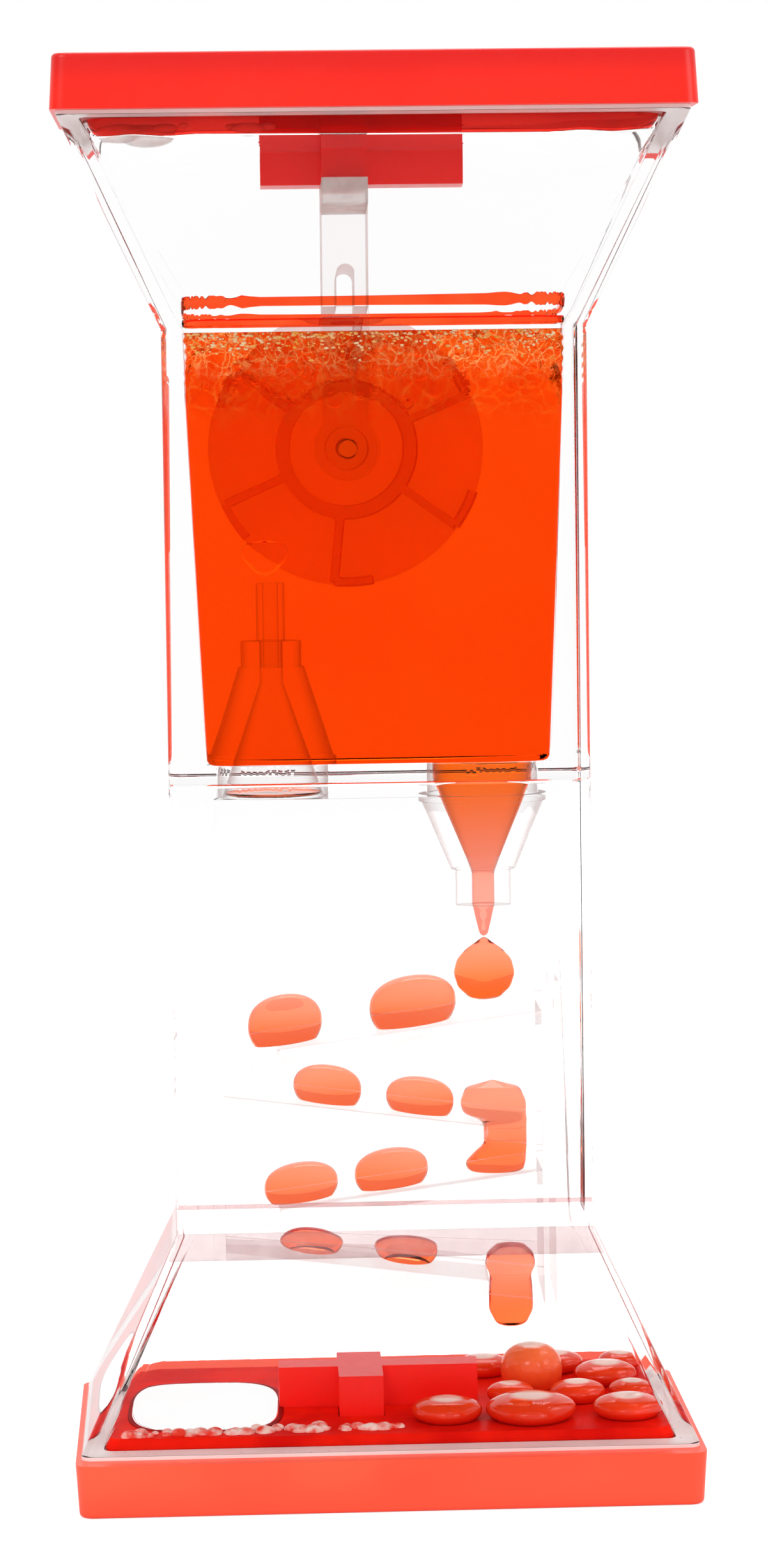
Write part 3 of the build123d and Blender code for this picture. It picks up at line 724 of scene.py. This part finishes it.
@dataclass
class Studio:
    """Camera, floor and soft light."""

    camera_mm: tuple[float, float, float] = (-20.57, -505.4, 125.8)  # Place of the camera
    yaw: float = 2.4232  # Turn of the timer before the camera, in degrees
    pitch: float = 5.2912  # How far the camera looks down, in degrees
    roll: float = -0.7481  # Lean of the picture, in degrees
    focal_share: float = 7000 / 2452  # Focal length as a share of the picture's height
    floor_half: Pair = (1.4, 0.75)  # Half width and half depth of the floor, in metres
    floor_glow: float = 0.42  # Light that the floor adds where it is seen
    # Y of a mirrored ray from which on the surround brightens, and where it is full
    mirror_depth: Pair = (-0.25, 0.35)
    mirror_least: float = 0.12  # Brightness of the surround in mirror images of the front
    ambient: float = 0.62  # Strength of the surround's soft light
    aim: tuple[float, float, float] = (0, 0, 0.08)  # The point that the lamps face, in metres
    # Name, place in metres, size in metres and power in watts of each lamp
    lamps: tuple = (
        ("key_lamp", (-0.7, -0.9, 0.9), 0.7, 9.0),
        ("fill_lamp", (0.9, -0.6, 0.5), 0.7, 5.0),
        ("top_lamp", (0.1, 0.4, 1.1), 0.8, 6.0),
    )

    def make_camera(self) -> None:
        """Camera whose axes are the rows of roll times pitch times yaw."""
        a, b, c = (math.radians(v) for v in (self.yaw, self.pitch, self.roll))
        yaw = np.array([[math.cos(a), -math.sin(a), 0], [math.sin(a), math.cos(a), 0], [0, 0, 1]])
        pitch = np.array([[1, 0, 0], [0, math.cos(b), -math.sin(b)], [0, math.sin(b), math.cos(b)]])
        roll = np.array([[math.cos(c), 0, math.sin(c)], [0, 1, 0], [-math.sin(c), 0, math.cos(c)]])
        right, forward, up = roll @ pitch @ yaw
        data = bpy.data.cameras.new("camera")
        data.lens = data.sensor_width * self.focal_share
        camera = add_object("camera", data)
        matrix = np.eye(4)
        matrix[:3] = np.column_stack([right, up, -forward, np.array(self.camera_mm) * MM])
        camera.matrix_world = Matrix(matrix.tolist())
        bpy.context.scene.camera = camera

    def make_floor(self) -> None:
        """A flat pale sheet with rounded corners; the white surround is the backdrop on every side."""
        rim = rounded_section(*self.floor_half, 4.0, 96)[0]
        mesh = bpy.data.meshes.new("floor")
        mesh.from_pydata(np.column_stack([rim, np.zeros(len(rim))]).tolist(), [], [list(range(len(rim)))])
        material = bpy.data.materials.new("pale_floor")
        graph = cleared_tree(material)
        tone = graph.blend(graph.noise(graph.place(), 3.0).outputs[0], (0.86, 0.86, 0.86), (0.82, 0.82, 0.82))
        plain = graph.add("BsdfDiffuse", {"Color": tone}).outputs[0]
        glow = graph.add("Emission", {"Color": WHITE, "Strength": self.floor_glow}).outputs[0]
        both = graph.add("AddShader", {0: plain, 1: glow}).outputs[0]
        seen, _ = graph.sight()
        pick = graph.add("MixShader", {0: seen, 1: plain, 2: both})
        graph.add("OutputMaterial", {"Surface": pick.outputs[0]})
        mesh.materials.append(material)
        add_object("floor", mesh)

    def make_light(self) -> None:
        """An even white surround and three large soft lamps."""
        world = bpy.data.worlds.new("surround")
        bpy.context.scene.world = world
        graph = cleared_tree(world)
        seen, glossy = graph.sight()
        way = graph.add("TexCoord").outputs["Generated"]
        depth = graph.add("SeparateXYZ", {0: way}).outputs["Y"]
        mirrored = graph.calc("MULTIPLY", glossy, graph.ramp(depth, *self.mirror_depth, self.mirror_least, 1.0))
        diffuse = graph.calc("SUBTRACT", 1.0, graph.calc("MAXIMUM", seen, glossy))
        soft = graph.calc("MULTIPLY", diffuse, self.ambient)
        strength = graph.calc("ADD", graph.calc("MAXIMUM", seen, mirrored), soft)
        ground = graph.add("Background", {"Color": WHITE, "Strength": strength})
        graph.add("OutputWorld", {"Surface": ground.outputs[0]})
        for name, place, size, power in self.lamps:
            data = bpy.data.lights.new(name, "AREA")
            data.size, data.energy = size, power
            lamp = add_object(name, data)
            lamp.location = place
            away = np.array(place) - self.aim
            tilt = math.acos(away[2] / np.linalg.norm(away))
            lamp.rotation_euler = (tilt, 0, math.atan2(away[1], away[0]) + math.pi / 2)

    def build(self) -> None:
        """Camera, floor, light and the plain view."""
        self.make_camera()
        self.make_floor()
        self.make_light()
        bpy.context.scene.view_settings.view_transform = "Standard"
        log.info("studio ready")


@dataclass
class Caps(SubAssembly):
    """The two coloured caps and the pale seals that they press on."""

    top: Finish = RED
    bottom: Finish = CORAL

    def build(self) -> None:
        """Dress the caps and seals."""
        self.dress(self.top, "top_cap")
        self.dress(self.bottom, "bottom_cap")
        self.dress(SEAL, "top_seal", "bottom_seal")


@dataclass
class Cups(SubAssembly):
    """The two clear cups."""

    mouth_half: Pair = (34.4, 18.5)  # Half width and half depth of a cup's mouth
    neck_half: Pair = (23.5, 11.0)  # Half width and half depth of its neck
    seat: float = 6.4  # Height of the mouth above the outer face of its cap
    bend: float = 29.5  # Height at which the flare ends
    height: float = 160.0  # Height of the whole timer
    skin_depth: float = 1.2  # How far inside the outline still counts as the outer skin
    flat: float = 0.9  # Least Z of the normal of a flat rim
    seat_reach: float = 0.1  # How far above the mouth a face still counts as its rim
    joint_reach: float = 0.2  # How far from the joint a face still counts as glued
    joint_film: float = 0.02  # Half of the glue line between the cups

    def kinds(self, mesh: Mesh) -> np.ndarray:
        """Which kind each face is.

        Flat rims are seats at the mouth and glued at the joint. Of the other faces,
        those near the outline at their height are skin and the rest is the cavity.

        Args:
            mesh: A cup's mesh.

        Returns:
            0 for skin, 1 for the cavity, 2 for a seat and 3 for a glued face.
        """
        centre, normal = read(mesh.polygons, "center") / MM, read(mesh.polygons, "normal")
        level = np.minimum(centre[:, 2], self.height - centre[:, 2])
        share = np.clip((level - self.seat) / (self.bend - self.seat), 0, 1)[:, None]
        half = self.mouth_half + share * np.subtract(self.neck_half, self.mouth_half)
        skin = (np.abs(centre[:, :2]) - half).max(1) > -self.skin_depth
        flat = np.abs(normal[:, 2]) > self.flat
        seated = flat & (level < self.seat + self.seat_reach)
        glued = flat & (level > self.height / 2 - self.joint_reach)
        return np.select([seated, glued, skin], [2, 3, 0], 1).astype(np.int32)

    def draw_rims_back(self, mesh: Mesh) -> None:
        """Draw the rims back from what they touch, because faces that coincide come out black.

        Args:
            mesh: A cup's mesh, changed in place.
        """
        points = read(mesh.vertices, "co")
        z, film, joint = points[:, 2], self.joint_film * MM, self.height / 2 * MM
        away = np.sign(mesh.polygons[0].center.z - joint)
        z += np.where(np.abs(z - joint) < film, away, 0) * film
        for level, way in ((self.seat, 1), (self.height - self.seat, -1)):
            z[np.abs(z - level * MM) < film] += way * 2 * film
        move_points(mesh, points)

    def build(self) -> None:
        """Copy each cup's mesh, merge it and give its kinds of faces their finishes."""
        for name in ("upper_shell", "lower_shell"):
            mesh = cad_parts[name].data.copy()
            mesh.name = name + "_clear"
            merge_points(mesh)
            kinds = self.kinds(mesh)
            mesh.materials.clear()
            piece = self.add_piece(mesh, Slot.CLEAR, SKIN, BORE, SEAT, GLUED, stands_for=name)
            mesh.polygons.foreach_set("material_index", kinds)
            self.draw_rims_back(mesh)
            even_faces(piece)


@dataclass
class Funnels(SubAssembly):
    """The two funnels that pass both floors, and the nozzle in the return funnel."""

    finish: Finish = FUNNEL

    def build(self) -> None:
        """Dress the funnels and the nozzle."""
        self.dress(self.finish, "return_funnel", "drain_funnel", "return_nozzle")


@dataclass
class WheelAssembly(SubAssembly):
    """The paddle wheel, its disc, its axle and the yoke that holds them."""

    def build(self) -> None:
        """Dress the four nodes."""
        self.dress(YOKE, "wheel_hanger")
        self.dress(STEEL, "wheel_axle")
        self.dress(WHEEL, "paddle_wheel", "wheel_disc")


@dataclass
class RampInsert(SubAssembly):
    """Two rails and four sloping gutters."""

    ramps: int = 4

    def build(self) -> None:
        """Dress the rails and gutters."""
        self.dress(INSERT, "rail_left", "rail_right", *(f"ramp_{k}" for k in range(1, self.ramps + 1)))


@dataclass
class UpperLiquid(SubAssembly):
    """The orange liquid round the wheel, its froth and the clear drop that rises in it."""

    bottom: float = 82.0  # Height of the liquid's underside
    top: float = 130.1  # Height of its surface
    bottom_half: Pair = (19.24, 6.74)  # Half width and half depth at the bottom
    top_half: Pair = (21.3, 8.7)  # Half width and half depth at the top
    corner_power: float = 14.0  # Power of the rounded section
    # Height share and size share of the rings that round the underside's edge
    foot: Outline = ((0.0, 0.97), (0.004, 0.99), (0.012, 1.0))
    calm_share: float = 0.86  # Height share above which the sides are wrinkled
    wrinkle: float = 0.014  # How far they are drawn in there, as a share of the half sizes
    froth_depth: float = 7.0  # Depth of the layer of froth
    froth_count: int = 90  # How many froth bubbles there are
    froth_radii: Pair = (0.25, 1.05)  # Least and greatest radius of these
    froth_margin: float = 0.5  # How far they stay from the wall and the surface
    sparkle_count: int = 520  # How many painted glints there are
    sparkle_radii: Pair = (0.07, 0.16)  # Least and greatest radius of these
    sparkle_stretch: Pair = (1, 2.4)  # Least and greatest width of these as a share of the height
    # Height shares of a refracted band's six rings, up the outside and down the inside
    band_rise: tuple[float, ...] = (0.0, 0.5, 1.0, 1.0, 0.5, 0.0)
    # How far each of these rings lies inside the wall
    band_inset: tuple[float, ...] = (0.12, 0.05, 0.12, 0.30, 0.37, 0.30)
    # Name, lower edge, upper edge and swing of the edges of each band
    refracted_bands: tuple = (("refracted_band_low", 130.75, 131.75, 0.05), ("refracted_band_high", 132.9, 134.4, 0.45))
    # Radius and height of the rising drop's corners
    drop_outline: Outline = (
        (0.02, 103.0), (1.1, 103.5), (2.3, 104.8), (2.7, 105.9), (2.1, 106.8), (0.02, 107.1),
    )
    drop_middle: Pair = (-12.4, -6.2)  # X and Y of its middle, in front of the wheel
    drop_flat: float = 0.42  # Its depth as a share of its width
    bend_z: float = 130.5  # Height at which the flare starts
    bend_half_depth: float = 8.7  # Half depth of the cavity there
    wall_lean: float = 0.316  # How much the half depth grows for each mm of the flare

    def block(self) -> Mesh:
        """The liquid's body: superelliptic sections that widen upwards, with a wrinkled top layer.

        Returns:
            The closed mesh.
        """
        lower, size = zip(*self.foot)
        share = np.concatenate([lower, np.linspace(0.03, self.calm_share, 24), np.linspace(0.87, 1.0, 40)])
        grown = self.bottom_half + share[:, None] * np.subtract(self.top_half, self.bottom_half)
        grown = grown * np.interp(share, lower, size)[:, None]
        section = rounded_section(*grown.T, self.corner_power, 220)
        z = self.bottom + share * (self.top - self.bottom)
        upper = np.clip((share - self.calm_share) / (1 - self.calm_share), 0, 1)[:, None]
        x, level = section[..., 0], z[:, None]
        wave = np.sin(x * 1.9 + level * 2.3) * np.sin(level * 3.1 - x * 0.7)
        section = section * (1 - self.wrinkle * upper * (1 + wave))[..., None]
        return ring_surface("orange_block", stacked(section, z))

    def froth(self) -> Mesh:
        """Froth bubbles against the front and back walls, most of them near the surface.

        Returns:
            The closed mesh.
        """
        pick = np.random.default_rng(7)
        x = pick.uniform(-0.88, 0.88, self.froth_count) * self.top_half[0]
        radius = pick.uniform(*self.froth_radii, self.froth_count)
        sink = pick.random(self.froth_count) ** 1.6 * self.froth_depth
        wall = self.top_half[1] - self.froth_margin - radius
        y = np.where(pick.random(self.froth_count) < 0.6, -wall, wall)
        z = self.top - self.froth_margin - radius - sink
        return bubbles("froth", np.stack([x, y, z], -1), radius, 12, 7)

    def sparkle(self) -> Mesh:
        """Painted glints along the surface's edge, between the liquid and the wall: small bright opaque specks in
        place of highlights.

        Returns:
            The closed mesh.
        """
        pick = np.random.default_rng(11)
        x = pick.uniform(-0.97, 0.97, self.sparkle_count) * self.top_half[0]
        radius = pick.uniform(*self.sparkle_radii, self.sparkle_count)
        side = np.where(pick.random(self.sparkle_count) < 0.65, -1, 1)
        y = side * (self.top_half[1] - 0.12)
        z = self.top - 0.1 - np.abs(pick.normal(0, 1.1, self.sparkle_count))
        width = radius * pick.uniform(*self.sparkle_stretch, self.sparkle_count)
        return bubbles("sparkle", np.stack([x, y, z], -1), np.stack([width, radius * 0.7, radius], -1), 8, 4)

    def refracted_band(self, name: str, low: float, high: float, ripple: float) -> Mesh:
        """A tinted band on the flare's inner wall that stands in for the froth seen refracted through the flare: a
        painted refracted image.

        Its half depth follows the wall, and its edges swing by the product of two
        sines of the angle.

        Args:
            name: Name of the mesh.
            low: Height of its lower edge.
            high: Height of its upper edge.
            ripple: Swing of its edges.

        Returns:
            The closed mesh.
        """
        rise, inset = np.array(self.band_rise), np.array(self.band_inset)
        wall = self.bend_half_depth + ((low + high) / 2 - self.bend_z) * self.wall_lean
        half_d = wall - inset + (rise - 0.5) * (high - low) * self.wall_lean
        section = rounded_section(self.top_half[0] - inset, half_d, self.corner_power, 260)
        turn, up = circle(260), rise[:, None]
        swing = ripple * np.abs(np.sin(23 * turn) * np.sin(9 * turn + 1))
        z = low + up * (high - low) + np.where(up > 0.5, -swing, swing)
        return smooth_mesh(name, stacked(section, z) * MM, ring_quads(*z.shape))

    def rising_drop(self) -> Mesh:
        """The pale drop above the nozzle: an egg that is pointed below.

        Returns:
            The closed mesh.
        """
        mesh = turned("rising_drop", self.drop_outline, self.drop_middle[0])
        points = read(mesh.vertices, "co")
        points[:, 1] = points[:, 1] * self.drop_flat + self.drop_middle[1] * MM
        move_points(mesh, points)
        return mesh

    def build(self) -> None:
        """Add the block, the froth, the painted refraction bands and the rising drop."""
        self.add_piece(self.block(), Slot.ORANGE, FILL, stands_for="orange_fill")
        self.add_piece(self.froth(), Slot.ORANGE, FROTH)
        self.add_piece(self.sparkle(), Slot.ORANGE, PAINTED_GLINTS)
        for film in self.refracted_bands:
            self.add_piece(self.refracted_band(*film), Slot.ORANGE, REFRACTED_BAND)
        self.add_piece(self.rising_drop(), Slot.CLEAR, CLEAR_DROP)


@dataclass
class DrainStream(SubAssembly):
    """Liquid in the drain funnel, the drop that leaves it and the film in the return mouth."""

    x: float = 11.8  # X of the drain funnel's middle; the return funnel's is its mirror
    # Radius and height of the corners of the cone with its tube and thread
    cone: Outline = (
        (0.02, 61.8), (0.45, 62.0), (0.9, 63.8), (1.25, 65.4), (1.25, 69.0), (1.3, 69.3), (5.66, 79.8),
        (5.70, 81.86), (0.02, 81.9),
    )
    # The same of the film in the return funnel's mouth
    film: Outline = ((0.02, 78.2), (5.0, 78.2), (5.5, 78.35), (5.6, 78.75), (5.3, 78.5), (0.02, 78.45))
    # The same of the falling drop
    drop: Outline = (
        (0.02, 54.5), (1.7, 54.8), (3.0, 56.0), (3.5, 57.6), (3.1, 59.2), (2.0, 60.4), (0.8, 61.2),
        (0.35, 61.6), (0.02, 61.7),
    )

    def build(self) -> None:
        """Add the three."""
        cone = turned("drain_cone", self.cone, self.x, 120, 0.02)
        self.add_piece(cone, Slot.ORANGE, RICH, stands_for="drain_stream")
        self.add_piece(turned("mouth_film", self.film, -self.x, 60, 0.04), Slot.ORANGE, BEAD)
        self.add_piece(turned("falling_drop", self.drop, self.x, 60), Slot.ORANGE, FALLING)


@dataclass
class Beads(SubAssembly):
    """Drops on the ramps, on the pool and in the two spills."""

    ramp_drops: int = 8  # How many drops lie on the ramps, two on each
    base_drops: int = 11  # How many drops wait on the pool
    ramp_slope: float = 0.1313  # Fall of a ramp over its run
    lean: float = 0.35  # How far the top of a drop leans downhill
    fit: float = 0.98  # Widest radius as a share of the CAD drop's half width
    widest: float = 0.36  # Height share at which a drop is widest
    foot_share: float = 0.84  # Radius of a drop's foot as a share of its widest
    dome_powers: Pair = (2.5, 2.2)  # Powers of the superellipse above the widest place
    swell: float = 0.04  # How much longer than wide a drop is, as a share
    tall_share: float = 0.5  # Height of a standing drop as a share of its width, at least
    tall_top: float = 11.5  # Least height of a standing drop's top
    spill_foot: float = 0.3  # How far the spill's column starts above the CAD one's foot
    # Radius, height share and X of the middle at the column's corners
    spill: Outline = (
        (0.02, 0.0, 12.9), (3.1, 0.01, 12.9), (3.5, 0.10, 12.8), (2.9, 0.23, 13.5), (2.45, 0.30, 14.0),
        (2.45, 0.52, 14.0), (2.7, 0.57, 13.8), (3.6, 0.64, 12.8), (3.8, 0.76, 12.65), (3.1, 0.92, 12.6),
        (0.02, 1.0, 12.6),
    )
    # Radius and height share at the hanging drop's corners
    hang: Outline = (
        (0.02, 0.0), (1.7, 0.03), (2.55, 0.20), (2.5, 0.45), (2.35, 0.62), (2.9, 0.72), (2.7, 0.86),
        (1.5, 0.97), (0.02, 1.0),
    )
    hang_x: float = 14.4  # X of the hanging drop's middle

    def bead(self, node: str, slope: float = 0.0, lean: float = 0.0) -> Mesh:
        """A sagging drop with a flat foot, of a CAD drop's size and place.

        Above its widest place the radius follows a superellipse of the height; below
        it, it draws in to the foot by a square law. The foot tilts with the ramp, and
        the top leans downhill.

        Args:
            node: Name of the CAD drop.
            slope: Rise of the foot along X.
            lean: Shift of the top along X.

        Returns:
            The closed mesh.
        """
        low, high = box_mm(node)
        middle = (low + high) / 2
        radius = (high[0] - low[0]) / 2 * self.fit
        foot = low[2] + abs(slope) * radius
        share = 0.5 - 0.5 * np.cos(np.linspace(0, math.pi, 30))
        above = np.clip((share - self.widest) / (1 - self.widest), 0, 1)
        below = np.clip((self.widest - share) / self.widest, 0, 1)
        dome = (1 - above ** self.dome_powers[0]) ** (1 / self.dome_powers[1])
        girth = np.where(share > self.widest, dome, 1 - (1 - self.foot_share) * below**2)
        girth, share, turn = np.maximum(girth, 0.004)[:, None], share[:, None], circle(48)
        across = radius * girth * np.cos(turn) * (1 + self.swell * np.cos(2 * turn))
        x = middle[0] + across + lean * share**2
        y = middle[1] + radius * girth * np.sin(turn)
        z = foot + (high[2] - foot) * share + slope * across
        return ring_surface(node + "_bead", np.stack([x, y, z], -1), rise=True)

    def build(self) -> None:
        """Add the drops on the ramps, the drops on the pool and the two spills."""
        for number in range(self.ramp_drops):
            node = f"ramp_drop_{number + 1}"
            side = 1 if number // 2 % 2 == 0 else -1
            mesh = self.bead(node, side * self.ramp_slope, -self.lean * side)
            self.add_piece(mesh, Slot.ORANGE, BEAD, stands_for=node)
        for number in range(self.base_drops):
            node = f"base_drop_{number + 1}"
            low, high = box_mm(node)
            tall = high[2] - low[2] > self.tall_share * (high[0] - low[0]) and high[2] > self.tall_top
            self.add_piece(self.bead(node), Slot.ORANGE, STANDING if tall else DOME, stands_for=node)
        low, high = box_mm("spill_stream")
        foot = low[2] + self.spill_foot
        height = high[2] - low[2] - self.spill_foot
        spill = [(radius, foot + share * height, x) for radius, share, x in self.spill]
        mesh = turned("spill_column", spill, steps=120, rounding=0.06)
        self.add_piece(mesh, Slot.ORANGE, BEAD, stands_for="spill_stream")
        low, high = box_mm("hanging_drop")
        hang = [(radius, low[2] + share * (high[2] - low[2])) for radius, share in self.hang]
        mesh = turned("hanging_bead", hang, self.hang_x, 90)
        self.add_piece(mesh, Slot.ORANGE, BEAD, stands_for="hanging_drop")


@dataclass
class LowerPool(SubAssembly):
    """The liquid that has gathered on the lower cap."""

    surface: float = 7.6  # Height of the pool's surface
    patch_middle: Pair = (-20.6, -2.2)  # X and Y of the mirror patch, a white mirror plate standing in for the reflection off the pool's flat surface
    patch_half: Pair = (8.3, 10.4)  # Half width and half depth of the patch
    # Size share and height above the foot of a plate's rings
    patch_rings: Outline = ((1.0, 0.0), (1.0, 0.03), (0.99, 0.05), (0.97, 0.06))
    # Name, margin round the patch and height above the pool, and finish of each plate
    patches: tuple = (("patch_edge", 0.55, 0.01, Slot.ORANGE, EDGE), ("mirror_patch", 0.0, 0.08, Slot.CLEAR, POOL_MIRROR))
    bubble_count: int = 90  # How many small bubbles lie along the front
    bubble_x: Pair = (-29.5, 1.0)  # Where their row starts and ends
    bubble_radii: Pair = (0.25, 0.85)  # Least and greatest radius of these
    bubble_front: Pair = (-15.1, -15.2)  # Y of their row and of the pool's front edge

    def patch(self, name: str, grow: float, low: float) -> Mesh:
        """A low plate with a rounded plan: superelliptic rings that shrink upwards.

        Args:
            name: Name of the mesh.
            grow: How much larger than the patch it is all round.
            low: Height of its foot above the pool.

        Returns:
            The closed mesh.
        """
        size, rise = np.array(self.patch_rings).T
        half_w, half_d = (np.array(self.patch_half) + grow)[:, None] * size
        section = rounded_section(half_w, half_d, 3.6, 72) + self.patch_middle
        return ring_surface(name, stacked(section, self.surface + low + rise))

    def front_bubbles(self) -> Mesh:
        """Small bubbles along the pool's front edge, half sunk in its surface.

        Returns:
            The closed mesh.
        """
        pick = np.random.default_rng(5)
        x = pick.uniform(*self.bubble_x, self.bubble_count)
        row, edge = self.bubble_front
        y = row + np.abs(pick.normal(0, 1.0, self.bubble_count)) + 0.06 * (x + 29)
        radius = pick.uniform(*self.bubble_radii, self.bubble_count)
        centres = np.stack([x, np.maximum(y, edge + radius), np.full(len(x), self.surface + 0.05)], -1)
        return bubbles("pool_bubbles", centres, np.stack([radius * 1.3, radius, radius * 0.8], -1), 14, 8)

    def build(self) -> None:
        """Dress the pool, lay the two plates on it and add the bubbles."""
        self.dress(POOL, "orange_pool")
        # The mirror plate stands in for the pool's reflection, and the dark ring round it is painted shade.
        for name, grow, low, slot, finish in self.patches:
            self.add_piece(self.patch(name, grow, low), slot, finish)
        self.add_piece(self.front_bubbles(), Slot.ORANGE, SPECKS)


@dataclass
class AirGap(SubAssembly):
    """Air caught under the upper cap."""

    level: float = 153.5  # Height of its top
    depth: float = 1.9  # Depth of the layer of air
    mouth_half: Pair = (31.7, 15.8)  # Half width and half depth of the cavity at that height
    fall_share: Pair = (0.463, 0.316)  # How much these shrink for each mm downwards
    # Depth share and inset from the wall of the layer's rings
    rings: Outline = ((1.0, 1.2), (0.985, 0.7), (0.93, 0.25), (0.80, 0.05), (0.5, 0.0), (0.0, 0.0))
    ripple: float = 0.10  # Swing of its lower face
    bubble_gap: float = 0.3  # How far the flat bubbles lie below the top
    # X and Y of each flat bubble
    bubble_places: Outline = (
        (-27.6, -13.2), (-24.6, -12.4), (-29.0, -11.0), (-22.6, -13.4), (-26.0, -10.2), (-13.6, -13.6),
        (-11.6, -13.2), (-15.2, -12.6), (-20.6, -13.8),
    )
    # Half sizes of each flat bubble
    bubble_sizes: Outline = (
        (2.6, 1.3, 1.1), (3.1, 1.6, 1.3), (1.5, 1.0, 0.9), (1.4, 0.9, 0.7), (1.7, 1.2, 0.8), (1.9, 1.1, 0.8),
        (1.1, 0.8, 0.6), (0.9, 0.7, 0.5), (0.6, 0.5, 0.4),
    )

    def layer(self) -> Mesh:
        """A flat slab with a curled lower rim: superelliptic sections that narrow downwards.

        Returns:
            The closed mesh.
        """
        share, inset = np.array(self.rings).T
        sink = self.depth * share
        half_w, half_d = (
            half - fall * sink - inset for half, fall in zip(self.mouth_half, self.fall_share)
        )
        section = rounded_section(half_w, half_d, 16.0, 240)
        z = (self.level - sink)[:, None] + self.ripple * np.sin(section[..., 0] * 0.9) * (sink[:, None] > 0)
        return ring_surface("air_layer", stacked(section, z))

    def build(self) -> None:
        """Add the layer and the two groups of flat bubbles."""
        self.add_piece(self.layer(), Slot.CLEAR, GAP)
        size = np.array(self.bubble_sizes)
        centres = np.column_stack([self.bubble_places, self.level - self.bubble_gap - size[:, 2]])
        self.add_piece(bubbles("air_bubbles", centres, size, 28, 14), Slot.CLEAR, AIR)


@dataclass
class PaleMarks(SubAssembly):
    """Marks in the clear plastic: the frosted crown, and haze and a line where the lower cup bends."""

    crown_half: Pair = (2.55, 5.6)  # Half width and half depth of the crown's frosted end
    crown_middle: Pair = (-3.0, -2.15)  # X and Y of its middle
    crown_z: Pair = (144.9, 147.75)  # Lower and upper height of the frost
    haze: Pair = (26.8, 29.75)  # Lower and upper height of the haze
    line: Pair = (32.5, 33.0)  # Lower and upper height of the line above it
    bend: float = 29.5  # Height at which the lower cup's flare ends
    strip_half: Pair = (23.2, 0.08)  # Half width and half thickness of the haze and the line
    strip_y: float = 10.75  # How far in front of the middle they lie
    flare: Pair = (0.47, 0.325)  # How much wider and further forward they are for each mm below the bend

    def crown(self) -> Mesh:
        """A rounded box round the crown's upper end: four superelliptic rings.

        Returns:
            The closed mesh.
        """
        z = np.interp([0.0, 0.02, 0.98, 1.0], [0, 1], self.crown_z)
        half_w, half_d = (np.full(len(z), half) for half in self.crown_half)
        section = rounded_section(half_w, half_d, 30.0, 64) + self.crown_middle
        return ring_surface("crown_frost", stacked(section, z))

    def strip(self, name: str, low: float, high: float) -> Mesh:
        """A thin strip just inside the lower cup's front wall.

        It is upright above the bend and follows the flare below it.

        Args:
            name: Name of the mesh.
            low: Height of its lower edge.
            high: Height of its upper edge.

        Returns:
            The closed mesh.
        """
        z = np.linspace(low, high, 6)
        below = np.maximum(self.bend - z, 0)
        section = rounded_section(self.strip_half[0] + self.flare[0] * below, self.strip_half[1], 30.0, 64)
        section[..., 1] -= (self.strip_y + self.flare[1] * below)[:, None]
        return ring_surface(name, stacked(section, z))

    def build(self) -> None:
        """Add the marks."""
        self.add_piece(self.crown(), Slot.CLEAR, FROST)
        self.add_piece(self.strip("bend_haze", *self.haze), Slot.CLEAR, HAZE)
        self.add_piece(self.strip("bend_line", *self.line), Slot.CLEAR, LINE)


def main() -> None:
    """Build the studio and every sub-assembly."""
    logging.basicConfig(level=logging.INFO, format="%(name)s %(message)s")
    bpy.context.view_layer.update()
    for part in (
        Studio(), Caps(), Cups(), Funnels(), WheelAssembly(), RampInsert(), UpperLiquid(), DrainStream(),
        Beads(), LowerPool(), AirGap(), PaleMarks(),
    ):
        part.build()
    bpy.context.view_layer.update()


if __name__ == "__main__":
    main()
